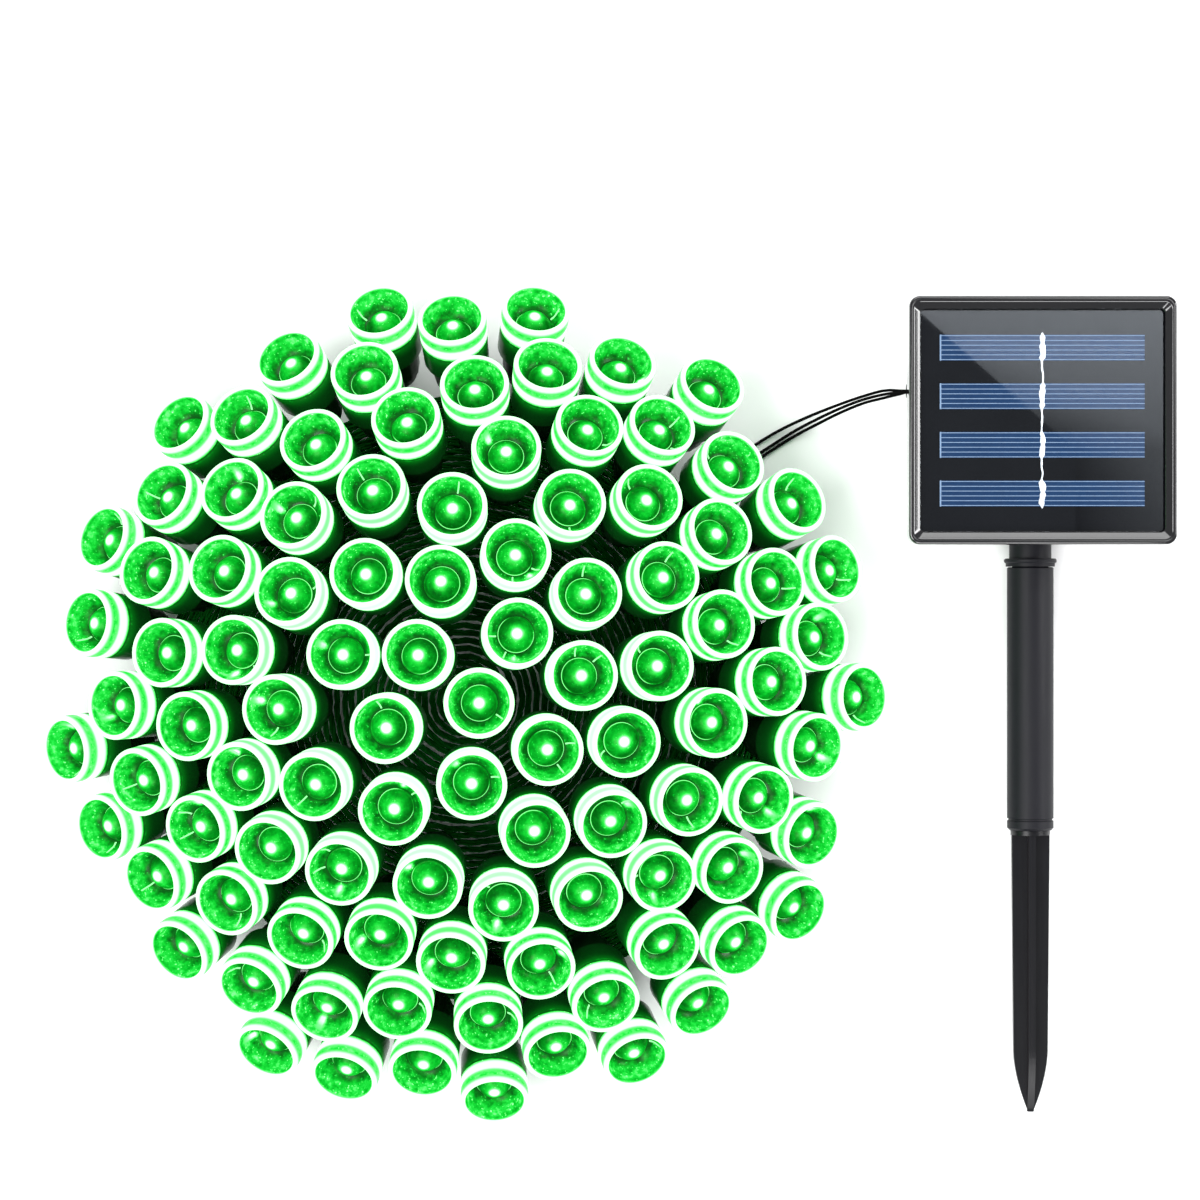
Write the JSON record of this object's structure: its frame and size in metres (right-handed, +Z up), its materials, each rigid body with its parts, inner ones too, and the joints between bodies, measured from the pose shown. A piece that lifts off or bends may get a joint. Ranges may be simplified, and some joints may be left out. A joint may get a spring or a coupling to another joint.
{
  "type": "solar string lights",
  "caption": "Green bulb string lights bunched in a low dome, fed by a tilting solar panel on a push-together ground stake.",
  "frame": {"origin": "centre of the set's footprint on the table it lies on, below the middle of its box", "axes": "+X across the stake, from the bunch of bulbs to the panel; -Y down the stake to its point; +Z up from the table"},
  "size_m": [0.4169, 0.3102, 0.0927],
  "materials": {
    "gloss_black_case": "glossy moulded black plastic",
    "black_cover": "fine-textured moulded black plastic",
    "black_rubber": "soft matt rubber",
    "cover_glass": "clear glossy cover",
    "cell_blue": "blue silicon with fine pale lines",
    "tinned_metal": "bright tinned metal",
    "backsheet": "dark coated laminate",
    "board_green": "coated circuit board",
    "component_black": "moulded component bodies",
    "battery_sleeve": "printed plastic sleeve without lettering",
    "plated_steel": "zinc-plated steel",
    "red_rubber": "soft button rubber",
    "stake_matte": "matt charcoal plastic",
    "spike_black": "semi-gloss black plastic",
    "cap_green_clear": "clear plastic lit green from inside",
    "led_green_clear": "clear green epoxy, lit",
    "led_chip": "lit chip in a small cup",
    "holder_green": "dark green moulded plastic",
    "string_green": "dark green insulated wire",
    "lead_black": "black insulated wire"
  },
  "bodies": {
    "head_and_string": {"stake_head": "stake_matte", "bulb_caps": "cap_green_clear", "led_lenses": "led_green_clear", "led_chips": "led_chip", "led_legs": "tinned_metal", "bulb_holders": "holder_green", "holder_boots": "holder_green", "string_winding": "string_green", "lead_wire_a": "lead_black", "lead_wire_b": "lead_black", "lead_wire_c": "lead_black"},
    "panel": {"front_case": "gloss_black_case", "back_cover": "black_cover", "cover_gasket": "black_rubber", "case_screws": "plated_steel", "solar_glass": "cover_glass", "solar_cells": "cell_blue", "cell_ribbon": "tinned_metal", "cell_backsheet": "backsheet", "circuit_board": "board_green", "board_components": "component_black", "tact_switches": "component_black", "battery": "battery_sleeve", "battery_contacts": "plated_steel", "battery_door": "black_cover", "battery_door_gasket": "black_rubber", "battery_door_screws": "plated_steel", "cable_gland": "black_rubber", "tilt_bracket": "black_cover", "bracket_screws": "plated_steel", "pivot_bolt": "plated_steel", "pivot_washer": "plated_steel"},
    "thumb_nut": {"thumb_nut": "black_cover"},
    "power_button": {"power_button": "red_rubber"},
    "mode_button": {"mode_button": "black_rubber"},
    "stake_tube": {"stake_tube": "stake_matte"},
    "ground_spike": {"ground_spike": "spike_black"}
  },
  "joints": [
    {"name": "panel_tilt", "type": "hinge", "parent": "head_and_string", "child": "panel", "pos_m": [0.1595, 0.119, 0.00985], "axis": [1, 0, 0], "range_deg": [-45, 0]},
    {"name": "thumb_nut_turn", "type": "hinge", "parent": "panel", "child": "thumb_nut", "pos_m": [0.1595, 0.119, 0.00985], "axis": [1, 0, 0], "continuous": true},
    {"name": "power_press", "type": "slide", "parent": "panel", "child": "power_button", "axis": [0, 0, 1], "range_m": [0, 0.0008], "stiffness_N_per_m": 1200},
    {"name": "mode_press", "type": "slide", "parent": "panel", "child": "mode_button", "axis": [0, 0, 1], "range_m": [0, 0.0008], "stiffness_N_per_m": 1200},
    {"name": "tube_pull", "type": "slide", "parent": "head_and_string", "child": "stake_tube", "axis": [0, -1, 0], "range_m": [0, 0.025]},
    {"name": "spike_pull", "type": "slide", "parent": "stake_tube", "child": "ground_spike", "axis": [0, -1, 0], "range_m": [0, 0.025]}
  ]
}
